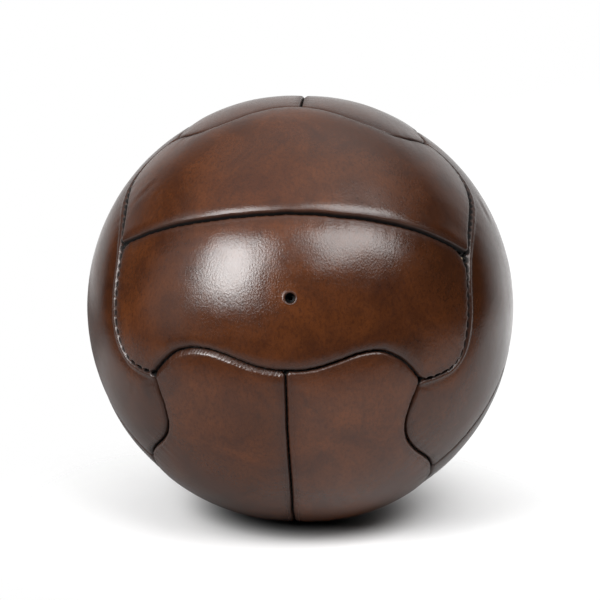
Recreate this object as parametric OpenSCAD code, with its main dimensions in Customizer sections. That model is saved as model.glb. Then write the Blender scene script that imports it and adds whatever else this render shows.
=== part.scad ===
// Leather medicine ball sewn from twelve panels of one shape.
//
// Each of the six faces is a pair of panels with a straight seam between them. The two panels of a face
// share their outline with the next face round the ball, so every panel is the same piece turned to a
// new place. The ball is worked out in its own frame, with the front face on -Y, and is then pitched
// back to the way it rests. The origin is the ball's centre, and the flat it rests on faces down.

/* [Ball] */
// Outside diameter of the casing
ball_d = 240; // [200:1:280]
// How far the front face is tilted up when the ball rests, in degrees
pitch = 34; // [0:1:40]
// How much the ball squashes where it rests
rest_sag = 1.5; // [1:0.1:2.5]

/* [Panels] */
// Half length of a straight seam, as a share of the ball's radius
seam_reach = 0.767; // [0.74:0.001:0.8]
// How far a face's long side bows out either side of the seam's end
edge_swell = 0.346; // [0.1:0.001:0.5]
// Leather thickness
leather_t = 3; // [2.5:0.1:3.5]
// Depth of the turned-in seam flange below the outside of the leather
flange_depth = 7.5; // [6.5:0.1:9]
// Thickness of the skived seam flange
flange_t = 2; // [1.5:0.1:2.5]
// Gap between two panels at a seam
seam_gap = 0.8; // [0.4:0.1:1.2]
// Width of the rolled edge beside a seam
roll_w = 2.4; // [1.5:0.1:3]
// Depth of the rolled edge beside a seam
roll_h = 1.6; // [1:0.1:2]

/* [Stitching] */
// Distance from one stitch to the next
stitch_pitch = 5; // [4:0.5:8]
// Thread diameter
thread_d = 1; // [0.8:0.1:1.2]
// Depth of the stitches below the outside of the leather
stitch_depth = 2.4; // [2.2:0.1:3.5]

/* [Filling] */
// Outside diameter of the rubber bladder
bladder_d = 190; // [140:1:194]
// Wall thickness of the bladder
bladder_t = 6; // [3:0.5:8]

/* [Valve] */
// Angle of the valve hole below the front seam, in degrees
valve_drop = 21.5; // [18:0.5:26]
// Angle of the valve hole to the right of the middle of the panel, in degrees
valve_side = 1.1; // [0:0.1:3]
// Diameter of the hole in the leather
valve_hole_d = 5.2; // [4:0.1:7]
// Diameter of the valve housing's stem
stem_d = 10; // [9:0.5:12]
// Diameter of the valve insert
insert_d = 5.8; // [5:0.1:6.5]
// Diameter of the needle channel through the insert
needle_d = 2; // [1.5:0.1:2.2]
// Diameter of the leather washer behind the hole
washer_d = 26; // [20:1:30]
// Thickness of the leather washer
washer_t = 1.5; // [1:0.1:2]
// Diameter of the rubber patch that holds the housing on the bladder
patch_d = 32; // [24:1:40]
// Thickness of the rubber patch
patch_t = 1.5; // [1:0.1:2]

/* [Hidden] */

$fn = 96;
ball_r = ball_d / 2;
bladder_r = bladder_d / 2;
// Clearance between the layers under the leather
ease = 0.2;

// The places of the twelve panels: the front lower panel turned over onto its own face or the back
// (half turns), then carried round to the bottom and top or the left and right (thirds of a turn).
AS_IS = [0, [0, 0, 1]];
OVER_Y = [180, [0, 1, 0]];
OVER_Z = [180, [0, 0, 1]];
OVER_X = [180, [1, 0, 0]];

// Turns a child of the front lower panel to another place, then pitches the whole ball to its rest
module place(half_turn, thirds) {
    rotate([-pitch, 0, 0])
        rotate(a = 120 * thirds, v = [1, 1, 1])
            rotate(a = half_turn[0], v = half_turn[1])
                children();
}

// ---- Seam curves on the unit sphere ----

// A cube's corner on the unit sphere, where three faces meet
corner = 1 / sqrt(3);
edge_drop = (seam_reach + edge_swell * corner ^ 2 - corner) / corner ^ 4;
seam_half_angle = asin(seam_reach);

// Half width of a face at height u above or below its straight seam
function edge(u) = seam_reach + edge_swell * u ^ 2 - edge_drop * u ^ 4;

// Point of the front face's left edge at height v, and of its bottom edge at width v
function left_edge(v) = [-edge(abs(v)), -sqrt(1 - v ^ 2 - edge(abs(v)) ^ 2), v];
function bottom_edge(v) = [v, -edge(abs(v)), -sqrt(1 - v ^ 2 - edge(abs(v)) ^ 2)];
function straight_seam(angle) = [sin(angle), -cos(angle), 0];

// Steps along a half edge, closer together towards the corner, where it bends most
edge_steps = 8;
function step(i) = corner * sin(90 * i / edge_steps);
seam_steps = 20;

// The front lower panel's outline, anticlockwise from outside
OUTLINE = [
    for (i = [0:edge_steps - 1]) left_edge(-step(i)),
    for (i = [-edge_steps:edge_steps - 1]) bottom_edge(step(i)),
    for (i = [edge_steps:-1:1]) let (p = left_edge(-step(i))) [-p.x, p.y, p.z],
    for (i = [0:seam_steps - 1]) straight_seam(seam_half_angle * (1 - 2 * i / seam_steps))
];
corners = len(OUTLINE);

function unit(v) = v / norm(v);
function sum(list, i = 0) = i == len(list) - 1 ? list[i] : list[i] + sum(list, i + 1);

// Inward normal of the radial plane through each side of the outline
WALLS = [for (i = [0:corners - 1]) unit(cross(OUTLINE[i], OUTLINE[(i + 1) % corners]))];
// Shift at each corner that moves both sides beside it in by 1 mm
INSETS = [
    for (i = [0:corners - 1])
        let (before = WALLS[(i + corners - 1) % corners], after = WALLS[i])
            (before + after) / (1 + before * after)
];
MIDDLE = unit(sum(OUTLINE));
// Radii between which a wedge is cut, inside the flanges and outside the leather
wedge_foot = ball_r - flange_depth - 8;
wedge_top = ball_r * 1.3;

// Solid wedge of the ball under one panel. Each ring is [radius, inset from the seam line].
module wedge(rings) {
    top = len(rings) - 1;
    points = [
        for (ring = rings) each [for (i = [0:corners - 1]) OUTLINE[i] * ring[0] + INSETS[i] * ring[1]],
        MIDDLE * rings[0][0],
        MIDDLE * rings[top][0]
    ];
    inner_middle = len(points) - 2;
    outer_middle = len(points) - 1;
    faces = [
        for (i = [0:corners - 1])
            let (j = (i + 1) % corners)
                each [
                    [inner_middle, i, j],
                    [outer_middle, top * corners + j, top * corners + i],
                    for (k = [0:top - 1])
                        let (a = k * corners, b = (k + 1) * corners)
                            each [[a + i, b + i, b + j], [a + i, b + j, a + j]]
                ]
    ];
    polyhedron(points, faces);
}

// Wedge with the same inset all the way out
module plain_wedge(inset) {
    wedge([[wedge_foot, inset], [wedge_top, inset]]);
}

// Everything below the flat that the ball rests on
module below_rest() {
    translate([0, 0, rest_sag - 1.5 * ball_r])
        cube([ball_d, ball_d, ball_r], center = true);
}

// Stands its children on the valve's axis, with +Z out through the hole
module on_valve_axis() {
    rotate([-pitch, 0, 0])
        rotate([90 + valve_drop, 0, valve_side])
            children();
}

// ---- Casing ----

// One panel: a leather shell with rolled edges and a flange turned in along each seam
module panel() {
    half_gap = seam_gap / 2;
    difference() {
        intersection() {
            sphere(r = ball_r);
            wedge([
                [wedge_foot, half_gap],
                [ball_r - roll_h, half_gap],
                [ball_r - roll_h * 0.3, half_gap + roll_w * 0.35],
                [ball_r + roll_h * 0.1, half_gap + roll_w * 1.1],
                [wedge_top, half_gap + roll_w * 1.1]
            ]);
        }
        intersection() {
            sphere(r = ball_r - leather_t);
            plain_wedge(half_gap + flange_t);
        }
        sphere(r = ball_r - flange_depth);
    }
}

module casing_panel(half_turn, thirds) {
    color("#5a3626")
        place(half_turn, thirds)
            panel();
}

// The bottom panels also carry the flat that the ball rests on
module bottom_panel(half_turn) {
    color("#5a3626")
        difference() {
            place(half_turn, 1) panel();
            below_rest();
        }
}

// The front lower panel has the valve hole
module valve_panel() {
    color("#5a3626")
        difference() {
            place(AS_IS, 0) panel();
            on_valve_axis() cylinder(d = valve_hole_d, h = ball_d);
        }
}

// ---- Linings ----

// Canvas and felt lining glued behind the leather, between the flanges
module lining() {
    difference() {
        intersection() {
            sphere(r = ball_r - leather_t);
            plain_wedge(seam_gap / 2 + flange_t + ease);
        }
        sphere(r = ball_r - flange_depth);
    }
}

module casing_lining(half_turn, thirds) {
    color("#c8b48c")
        place(half_turn, thirds)
            lining();
}

// The front lower lining makes room for the washer and the valve's stem
module valve_lining() {
    color("#c8b48c")
        difference() {
            place(AS_IS, 0) lining();
            on_valve_axis() {
                cylinder(d = stem_d + 2 * ease, h = ball_d);
                intersection() {
                    cylinder(d = washer_d + 2 * ease, h = ball_d);
                    difference() {
                        sphere(r = ball_r);
                        sphere(r = ball_r - leather_t - washer_t - ease);
                    }
                }
            }
        }
}

// ---- Seam threads ----

// One stitch across a seam at point p of the unit sphere, with the seam running from a to b
module stitch(p, a, b) {
    across = unit(cross(p, b - a));
    length = seam_gap + 2 * flange_t;
    place_at = p * (ball_r - stitch_depth) - across * length / 2;
    turn = acos(across.z);
    translate(place_at)
        rotate(a = turn, v = [-across.y, across.x, 0])
            cylinder(d = thread_d, h = length, $fn = 24);
}

// The stitches of the front seam
module straight_thread(half_turn, thirds) {
    count = floor(2 * seam_half_angle / 360 * PI * ball_d / stitch_pitch);
    gap_angle = 2 * seam_half_angle / count;
    color("#1e1613")
        place(half_turn, thirds)
            for (i = [0.5:count - 0.5])
                let (angle = -seam_half_angle + i * gap_angle)
                    stitch(straight_seam(angle), straight_seam(angle - 1), straight_seam(angle + 1));
}

// Points close together along the front face's left edge, and their distance from its lower end
FINE = [for (i = [-40:40]) left_edge(corner * sin(90 * i / 40))];
RUN = [
    for (i = 0, d = 0; i < len(FINE); d = d + (i + 1 < len(FINE) ? norm(FINE[i + 1] - FINE[i]) : 0), i = i + 1)
        d * ball_r
];

// The stitches of the front face's left edge
module curved_thread(half_turn, thirds) {
    count = floor(RUN[len(RUN) - 1] / stitch_pitch);
    spacing = RUN[len(RUN) - 1] / count;
    color("#1e1613")
        place(half_turn, thirds)
            for (i = [0.5:count - 0.5])
                let (v = lookup(i * spacing, [for (k = [0:len(FINE) - 1]) [RUN[k], FINE[k].z]]))
                    stitch(left_edge(v), left_edge(v - 0.01), left_edge(v + 0.01));
}

// ---- Filling ----

// Hard-packed cotton between the casing and the bladder
module wadding() {
    color("#b9ab8f")
        difference() {
            sphere(r = ball_r - flange_depth - ease);
            sphere(r = bladder_r + ease);
            on_valve_axis() {
                cylinder(d = stem_d + 2 * ease, h = ball_d);
                intersection() {
                    cylinder(d = patch_d + 2 * ease, h = ball_d);
                    sphere(r = bladder_r + patch_t + ease);
                }
            }
        }
}

// Thick rubber bladder, open where the valve housing passes through its wall
module bladder() {
    color("#2a2725")
        difference() {
            sphere(r = bladder_r);
            sphere(r = bladder_r - bladder_t);
            on_valve_axis() cylinder(d = stem_d, h = ball_d);
        }
}

// ---- Valve ----

stem_top = ball_r - leather_t - washer_t - ease;
stem_foot = bladder_r - bladder_t - 2;
insert_depth = 20;

// Moulded rubber housing: a stem with a collar inside the bladder
module valve_housing() {
    color("#242220")
        on_valve_axis()
            difference() {
                union() {
                    translate([0, 0, stem_foot])
                        cylinder(d = stem_d, h = stem_top - stem_foot);
                    intersection() {
                        translate([0, 0, stem_foot]) cylinder(d = stem_d + 8, h = bladder_t);
                        sphere(r = bladder_r - bladder_t);
                    }
                }
                translate([0, 0, stem_top - insert_depth])
                    cylinder(d = insert_d, h = insert_depth + 1);
                cylinder(d = needle_d, h = ball_r);
            }
}

// Soft insert pressed into the housing, with the channel that a pump needle opens
module valve_insert() {
    color("#141312")
        on_valve_axis()
            translate([0, 0, stem_top - insert_depth])
                difference() {
                    cylinder(d = insert_d, h = insert_depth);
                    translate([0, 0, -1]) cylinder(d = needle_d, h = insert_depth + 2);
                }
}

// Rubber disc bonded over the bladder round the stem
module valve_patch() {
    color("#35302c")
        on_valve_axis()
            difference() {
                intersection() {
                    cylinder(d = patch_d, h = ball_r);
                    sphere(r = bladder_r + patch_t);
                }
                sphere(r = bladder_r);
                cylinder(d = stem_d, h = ball_r);
            }
}

// Leather ring glued behind the valve hole
module valve_hole_washer() {
    color("#7a543a")
        on_valve_axis()
            difference() {
                intersection() {
                    cylinder(d = washer_d, h = ball_r);
                    sphere(r = ball_r - leather_t);
                }
                sphere(r = ball_r - leather_t - washer_t);
                cylinder(d = valve_hole_d, h = ball_r);
            }
}

valve_panel();  // front_lower_panel
casing_panel(OVER_Y, 0);  // front_upper_panel
casing_panel(OVER_Z, 0);  // back_lower_panel
casing_panel(OVER_X, 0);  // back_upper_panel
bottom_panel(AS_IS);  // bottom_left_panel
bottom_panel(OVER_Y);  // bottom_right_panel
casing_panel(OVER_Z, 1);  // top_left_panel
casing_panel(OVER_X, 1);  // top_right_panel
casing_panel(AS_IS, 2);  // left_front_panel
casing_panel(OVER_Y, 2);  // left_rear_panel
casing_panel(OVER_Z, 2);  // right_front_panel
casing_panel(OVER_X, 2);  // right_rear_panel
valve_lining();  // front_lower_lining
casing_lining(OVER_Y, 0);  // front_upper_lining
casing_lining(OVER_Z, 0);  // back_lower_lining
casing_lining(OVER_X, 0);  // back_upper_lining
casing_lining(AS_IS, 1);  // bottom_left_lining
casing_lining(OVER_Y, 1);  // bottom_right_lining
casing_lining(OVER_Z, 1);  // top_left_lining
casing_lining(OVER_X, 1);  // top_right_lining
casing_lining(AS_IS, 2);  // left_front_lining
casing_lining(OVER_Y, 2);  // left_rear_lining
casing_lining(OVER_Z, 2);  // right_front_lining
casing_lining(OVER_X, 2);  // right_rear_lining
straight_thread(AS_IS, 0);  // front_seam_thread
straight_thread(OVER_Z, 0);  // back_seam_thread
straight_thread(AS_IS, 1);  // bottom_seam_thread
straight_thread(OVER_Z, 1);  // top_seam_thread
straight_thread(AS_IS, 2);  // left_seam_thread
straight_thread(OVER_Z, 2);  // right_seam_thread
curved_thread(AS_IS, 0);  // front_left_seam_thread
curved_thread(OVER_Y, 0);  // front_right_seam_thread
curved_thread(OVER_Z, 0);  // back_right_seam_thread
curved_thread(OVER_X, 0);  // back_left_seam_thread
curved_thread(AS_IS, 1);  // bottom_front_seam_thread
curved_thread(OVER_Y, 1);  // bottom_back_seam_thread
curved_thread(OVER_Z, 1);  // top_back_seam_thread
curved_thread(OVER_X, 1);  // top_front_seam_thread
curved_thread(AS_IS, 2);  // left_bottom_seam_thread
curved_thread(OVER_Y, 2);  // left_top_seam_thread
curved_thread(OVER_Z, 2);  // right_top_seam_thread
curved_thread(OVER_X, 2);  // right_bottom_seam_thread
wadding();
bladder();
valve_housing();
valve_insert();
valve_patch();
valve_hole_washer();
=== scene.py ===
"""Leather medicine ball on a white sweep.

The casing's twelve panels are one shape turned to twelve places, so the panel is worked out once, on the
unit sphere, in the ball's own frame (front face on -Y), and then shaped, turned and pitched for each place.
Lengths inside the panel code are in millimetres, as in the design; meshes are in metres.
"""

import math
import bpy
import numpy as np
from mathutils import Matrix, Vector


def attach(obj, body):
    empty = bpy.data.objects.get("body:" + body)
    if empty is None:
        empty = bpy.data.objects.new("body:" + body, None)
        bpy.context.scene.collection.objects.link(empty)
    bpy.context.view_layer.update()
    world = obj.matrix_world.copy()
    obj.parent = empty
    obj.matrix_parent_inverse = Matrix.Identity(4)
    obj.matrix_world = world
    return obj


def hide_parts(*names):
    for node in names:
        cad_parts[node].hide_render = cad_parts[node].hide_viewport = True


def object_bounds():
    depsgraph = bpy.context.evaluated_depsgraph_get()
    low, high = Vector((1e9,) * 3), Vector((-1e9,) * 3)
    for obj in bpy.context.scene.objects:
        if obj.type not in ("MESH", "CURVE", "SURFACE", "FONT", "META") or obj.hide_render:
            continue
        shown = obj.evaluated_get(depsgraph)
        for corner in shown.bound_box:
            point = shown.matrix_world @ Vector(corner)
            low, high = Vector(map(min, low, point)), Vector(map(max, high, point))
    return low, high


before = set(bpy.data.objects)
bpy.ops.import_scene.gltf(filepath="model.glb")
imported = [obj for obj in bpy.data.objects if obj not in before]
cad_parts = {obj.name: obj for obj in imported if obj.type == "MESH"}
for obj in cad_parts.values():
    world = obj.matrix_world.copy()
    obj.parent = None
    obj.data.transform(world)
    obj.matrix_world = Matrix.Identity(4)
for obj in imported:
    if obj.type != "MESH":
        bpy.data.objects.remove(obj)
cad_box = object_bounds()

# ---- Sizes, as in the design ----

MM = 0.001
BALL_R = (cad_box[1][0] - cad_box[0][0]) / 2 / MM
FLOOR_Z = cad_box[0][2]
PITCH = 34  # degrees that the front face is tilted up
SEAM_REACH = 0.767  # half length of a straight seam, as a share of the radius
EDGE_SWELL = 0.346  # how far a face's long side bows out either side of the seam's end
CORNER = 1 / math.sqrt(3)  # a cube's corner on the unit sphere
EDGE_DROP = (SEAM_REACH + EDGE_SWELL * CORNER**2 - CORNER) / CORNER**4
HALF_ANGLE = math.asin(SEAM_REACH)
LEATHER_T = 3
FLANGE_DEPTH = 7.5
FLANGE_T = 2
STITCH_PITCH = 5
VALVE_DROP = 21.5  # degrees below the front seam
VALVE_SIDE = 1.1  # degrees to the right of the middle
VALVE_HOLE_R = 2.6

# ---- The ball's frame ----

THIRD = np.array([[0, 0, 1], [1, 0, 0], [0, 1, 0]], float)  # X to Y to Z to X
AS_IS = np.diag([1.0, 1, 1])
OVER_X = np.diag([1.0, -1, -1])
OVER_Y = np.diag([-1.0, 1, -1])
OVER_Z = np.diag([-1.0, -1, 1])
PITCH_COS, PITCH_SIN = math.cos(math.radians(-PITCH)), math.sin(math.radians(-PITCH))
PITCHED = np.array([[1, 0, 0], [0, PITCH_COS, -PITCH_SIN], [0, PITCH_SIN, PITCH_COS]])

# The twelve places of the pattern: a half turn, then how many thirds of a turn
ALL_PLACES = [(half_turn, thirds) for thirds in range(3) for half_turn in (AS_IS, OVER_Y, OVER_Z, OVER_X)]
PANELS = [
    *("front_lower", "front_upper", "back_lower", "back_upper"),
    *("bottom_left", "bottom_right", "top_left", "top_right"),
    *("left_front", "left_rear", "right_front", "right_rear"),
]
PLACES = dict(zip(PANELS, ALL_PLACES))


def turn_to(place):
    """The rotation from the front lower panel to a place in the ball's frame."""
    half_turn, thirds = place
    return np.linalg.matrix_power(THIRD, thirds) @ half_turn


def unit(v):
    return v / np.linalg.norm(v, axis=-1, keepdims=True)


# ---- Seam curves ----


def edge(u):
    """Half width of a face at height u above or below its straight seam."""
    return SEAM_REACH + EDGE_SWELL * u**2 - EDGE_DROP * u**4


def left_edge(v):
    half = edge(abs(v))
    return np.stack([-half, -np.sqrt(1 - v**2 - half**2), v], -1)


def right_edge(v):
    return left_edge(v) * [-1, 1, 1]


def long_edge(v):
    half = edge(abs(v))
    return np.stack([v, -half, -np.sqrt(1 - v**2 - half**2)], -1)


def straight_seam(angle):
    return np.stack([np.sin(angle), -np.cos(angle), 0 * angle], -1)


def even_steps(points, shares):
    """Points at the given shares of a curve's length."""
    run = np.concatenate([[0], np.cumsum(np.linalg.norm(np.diff(points, axis=0), axis=1))])
    wanted = np.asarray(shares) * run[-1]
    return unit(np.stack([np.interp(wanted, run, points[:, k]) for k in range(3)], -1))


PANEL_LENGTH, PANEL_DEPTH = 200, 84  # about how far a panel's grid runs each way, in mm
DEPTH_STEP = 0.48  # the widest step between its rows, in mm


def graded(length, first=0.11, growth=1.2, most=0.56):
    """Shares from 0 to 1 whose steps grow from first at both ends to most in the middle, in mm."""
    steps, total = [], 0.0
    while total < length / 2:
        steps.append(min(most, first * growth ** len(steps)))
        total += steps[-1]
    half = np.concatenate([[0], np.cumsum(steps)]) / total / 2
    return np.concatenate([half, 1 - half[-2::-1]])


CURVE_POINTS = 400
ACROSS = np.linspace(-1, 1, CURVE_POINTS)
DOWN = np.linspace(0, -CORNER, CURVE_POINTS)
SIDE_CURVES = {
    "seam": straight_seam(HALF_ANGLE * ACROSS),
    "long": long_edge(CORNER * ACROSS),
    "left": left_edge(DOWN),
    "right": right_edge(DOWN),
}


def panel_grid():
    """Unit vectors over one panel: rows from the straight seam to the long edge, columns left to right."""
    s = graded(PANEL_LENGTH)
    t = graded(PANEL_DEPTH, most=DEPTH_STEP)
    top, bottom = even_steps(SIDE_CURVES["seam"], s), even_steps(SIDE_CURVES["long"], s)
    left, right = even_steps(SIDE_CURVES["left"], t), even_steps(SIDE_CURVES["right"], t)
    S, T = s[None, :, None], t[:, None, None]
    ruled = (1 - T) * top + T * bottom + (1 - S) * left[:, None] + S * right[:, None]
    corners = (1 - S) * (1 - T) * top[0] + S * (1 - T) * top[-1]
    corners = corners + (1 - S) * T * bottom[0] + S * T * bottom[-1]
    return unit(ruled - corners), S[..., 0] + 0 * T[..., 0], T[..., 0] + 0 * S[..., 0]


AT_A_TIME = 4000  # points measured at a time


def to_side(grid, name):
    """How far each point is from one side of the panel, and how far along it, in mm."""
    curve = unit(SIDE_CURVES[name])
    run = np.concatenate([[0], np.cumsum(np.linalg.norm(np.diff(curve, axis=0), axis=1))]) * BALL_R
    flat = grid.reshape(-1, 3)
    away = np.empty(len(flat))
    along = np.empty(len(flat))
    for i in range(0, len(flat), AT_A_TIME):
        block = flat[i : i + AT_A_TIME]
        dots = block @ curve.T
        nearest = dots.argmax(1)
        k = np.clip(nearest, 1, len(curve) - 2)
        tangent = unit(curve[k + 1] - curve[k - 1])
        offset = block - curve[nearest]
        slide = (offset * tangent).sum(1)
        slide = np.where((nearest == 0) | (nearest == len(curve) - 1), 0, slide)
        off = offset - tangent * slide[:, None]
        away[i : i + AT_A_TIME] = np.linalg.norm(off, axis=1) * BALL_R
        along[i : i + AT_A_TIME] = run[nearest] + slide * BALL_R
    return away.reshape(grid.shape[:2]), along.reshape(grid.shape[:2])


GRID, ACROSS_SHARE, DOWN_SHARE = panel_grid()
SIDES = {name: to_side(GRID, name) for name in SIDE_CURVES}

# ---- Smooth noise ----

WAVE_LENGTHS = (0.7, 1.5)  # shortest and longest, as shares of the size asked for
WAVE_PEAK = 1.6  # the waves' usual peak, before they are scaled to 1


def waves(points, size, seed, count=14):
    """Smooth noise about -1 to 1 over points, in the units of size, from a few seeded waves."""
    rng = np.random.default_rng(seed)
    total = np.zeros(points.shape[:-1])
    for _ in range(count):
        direction = unit(rng.normal(size=points.shape[-1]))
        length = size * rng.uniform(*WAVE_LENGTHS)
        total += np.sin(points @ direction * (2 * math.pi / length) + rng.uniform(0, 2 * math.pi))
    return total / math.sqrt(count / 2) / WAVE_PEAK


def nearby(points, place, reach):
    """1 at a place on the ball, and less and less round it, for a reach in mm."""
    away = np.linalg.norm(points - unit(np.array(place)), axis=-1) * BALL_R
    return np.exp(-((away / reach) ** 2))


# ---- Shape of the leather ----


class Edge:
    """How a panel's leather meets one of its seams, in mm, with the usual measures."""

    lift = (0.0, 0.0)  # how far the leather beside the seam stands up, at the seam's start and end
    roll = (1.8, 2.1)  # width and height of the rounded edge
    shoulder = 0.0  # how far the leather slopes down over the last SHOULDER_W before its rounded edge
    bead = (0.0, 0.0)  # height of the ridge that the stitches pull up, at the seam's start and end
    bevel = (1.0, 0.0)  # width and height of a slope down to the seam
    notch = 0.12  # depth of each stitch's mark
    puckers = 0.0  # depth of the fine cross folds on the bead or the bevel
    gather = 0.12  # height of the small folds that run in from the seam
    gap = (0.25, 0.25)  # half the width of the open groove, at the seam's start and end
    scallop = 0.15  # how much wider the gap is between the stitches than at them
    pinch = 0.0  # how far the stitches close the groove, from 0 to 1
    black = 0.22  # how far the black reaches out of the groove: edge dressing, and painted shade of the groove
    teeth = 0.0  # how much further the black runs out along the puckers, as painted shade in their folds

    def __init__(self, **given):
        for name, value in given.items():
            assert hasattr(self, name), name
            setattr(self, name, value)
        if not isinstance(self.lift, tuple):
            self.lift = (self.lift, self.lift)


PLAIN = Edge()
TIGHT = Edge(roll=(1.3, 1.8), gather=0.08, scallop=0.2)
OVERHANGING = Edge(lift=1.8, roll=(0.9, 2.0), shoulder=0.9, notch=0.02, gather=0.03, scallop=0.1, black=0.2)
TUCKED = Edge(lift=-0.6, roll=(1.1, 1.4), notch=0.08, gather=0.08, scallop=0.35, black=0.25)
TURNED = Edge(lift=0.7, roll=(2.2, 2.2), shoulder=0.7, notch=0.05, gather=0.1, gap=(0.2, 0.2), scallop=0.25)
OPEN = Edge(lift=0.2, roll=(2.6, 2.4), notch=0.05, gather=0.06, gap=(0.5, 0.5), black=0.8)
LOOSE = Edge(lift=0.2, roll=(1.8, 2.1), notch=0.05, gather=0.1, black=0.4)
FLAT = Edge(roll=(1.2, 1.8), notch=0.06, gather=0.06, gap=(0.4, 0.4), scallop=0.15, black=0.8)
BEVELLED = Edge(
    lift=-0.3, roll=(0.5, 0.7), bevel=(2.9, 1.75), notch=0.25, puckers=0.55, gather=0.08,
    gap=(0.2, 0.2), teeth=1.5,
)
CREASED = Edge(
    lift=-0.3, roll=(0.5, 0.8), bevel=(1.6, 0.95), notch=0.15, puckers=0.1, gather=0.06,
    gap=(0.2, 0.2), scallop=0.3, teeth=0.2,
)


def pinched(scallop, black):
    """An edge that each stitch pulls shut."""
    shape = {"lift": 0.4, "roll": (1.3, 1.8), "notch": 0.05, "gather": 0.06, "gap": (0.15, 0.15)}
    return Edge(**shape, pinch=0.85, scallop=scallop, black=black)


def beaded(gap, lift, bead):
    """An edge with a ridge beside it that each stitch pulls up."""
    shape = {"roll": (0.6, 1.3), "notch": 0.2, "puckers": 0.08, "gather": 0.05, "scallop": 0.55}
    return Edge(**shape, pinch=0.75, black=0.75, gap=gap, lift=lift, bead=bead)


CRISP = pinched(1.3, 1.2)
FAINT = pinched(0.8, 0.8)
LOW_THEN_HIGH = beaded((0.15, 0.7), (-1.5, -0.6), (0.9, 0.35))
HIGH_THEN_LOW = beaded((0.7, 0.15), (-0.6, -1.5), (0.35, 0.9))


ALL_PLAIN = {"seam": TIGHT, "left": PLAIN, "right": PLAIN, "long": PLAIN}
SEAM_EDGES = {
    "front_lower": {"seam": TUCKED, "left": CRISP, "right": FAINT, "long": TURNED},
    "front_upper": {"seam": OVERHANGING, "left": OPEN, "right": OPEN, "long": LOOSE},
    "bottom_left": {"left": BEVELLED, "right": CREASED},
    "bottom_right": {"left": CREASED, "right": CREASED},
    "top_left": {"left": FLAT, "right": FLAT},
    "top_right": {"left": FLAT, "right": FLAT},
    "left_front": {"long": LOW_THEN_HIGH},
    "left_rear": {"long": HIGH_THEN_LOW},
    "right_front": {"long": HIGH_THEN_LOW},
    "right_rear": {"long": LOW_THEN_HIGH},
}
# Reaches and depths from here on are in mm
BEAD_AT, BEAD_W = 1.8, 1.3  # the bead's middle, from the groove, and its half width
BLACK_EDGE = 0.22  # where the black ends in the painted distance: edge dressing and painted shade of the groove
SHOULDER_W = 7
PUFF = 1.5  # how far the middle of a panel stands above its edges
PUFF_MEAN = 0.62  # the swell's mean over a panel, as a share of PUFF
EDGE_SOFTNESS = 9.0  # how far the pull of a seam reaches into the panel
CORNER_ROUNDING = 2.5
STITCH_SLANT = 0.5  # how far a stitch runs along its seam for each mm across it
TURNS_AT, TURNS_OVER = 0.4, 0.2  # where a seam's start turns into its end, as shares of its length
PUCKERS = {"pitch": 1.9, "width": 0.5, "stray": 0.25, "weakest": 0.1}
PUCKER_REACH = 2.6
NOTCH_REACH = 2.0
GATHER_REACH = 5
GATHER_FOLDS = (11, 5.5)  # the long and the short folds' lengths
SHORT_FOLDS = 0.6  # the short folds' height beside the long ones'
GATHER_WAVES = 10
CLOSED = 0.45  # how far up its roll the leather stays at a stitch that closes the groove
GROOVE_SLOPE = 2.5  # how steeply the groove's two walls run down to the seam
GROOVE_DEEPEST = 3.0
LINING_COVER = 0.4  # the leather's least height above its lining
ROUNDED_CORNERS = {
    ("front_lower", "seam", "right"): 12.0,
    ("front_lower", "seam", "left"): 7.0,
    ("front_upper", "long", "left"): 5.0,
    ("front_upper", "long", "right"): 11.0,
    ("top_left", "long", "left"): 5.0,
    ("top_left", "long", "right"): 5.0,
    ("top_right", "long", "left"): 5.0,
    ("top_right", "long", "right"): 5.0,
}


def corner_distance(a, b, radius):
    """Distance to the nearer of two sides that meet in a rounded corner, less than 0 outside its arc."""
    in_corner = (a < radius) & (b < radius)
    rounded = radius - np.hypot(radius - a, radius - b)
    return np.where(in_corner, rounded, np.minimum(a, b))


def seam_distance(name, edges, marks):
    """Distance from the rounded edge of the panel's open groove, less than 0 inside the groove."""
    d = {}
    for side, (away, along) in SIDES.items():
        shape = edges[side]
        gap = from_start_to_end(shape.gap, along) + shape.scallop * (1 - marks[side])
        d[side] = away - gap + CLOSED * shape.pinch * marks[side]
    ends = [("seam", "left"), ("seam", "right"), ("long", "left"), ("long", "right")]
    return np.minimum.reduce(
        [corner_distance(d[a], d[b], ROUNDED_CORNERS.get((name, a, b), CORNER_ROUNDING)) for a, b in ends]
    )


def from_start_to_end(pair, along):
    """A measure of a seam that changes from its start to its end, about the middle."""
    start, end = pair
    share = np.clip((along / along.max() - TURNS_AT) / TURNS_OVER, 0, 1)
    return start + (end - start) * share**2 * (3 - 2 * share)


def stitch_marks(away, along, seed, pitch=STITCH_PITCH, width=0.75, stray=0.08, weakest=0.6):
    """1 at each slanting stitch and 0 between them, along a seam."""
    rng = np.random.default_rng(seed)
    count = max(1, round(float(along.max()) / pitch))
    spacing = float(along.max()) / count
    centres = (np.arange(count) + 0.5 + rng.uniform(-stray, stray, count)) * spacing
    strength = rng.uniform(weakest, 1.0, count)
    run = along - STITCH_SLANT * away
    nearest = np.clip((run / spacing).astype(int), 0, count - 1)
    return strength[nearest] * np.exp(-(((run - centres[nearest]) / width) ** 2))


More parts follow.
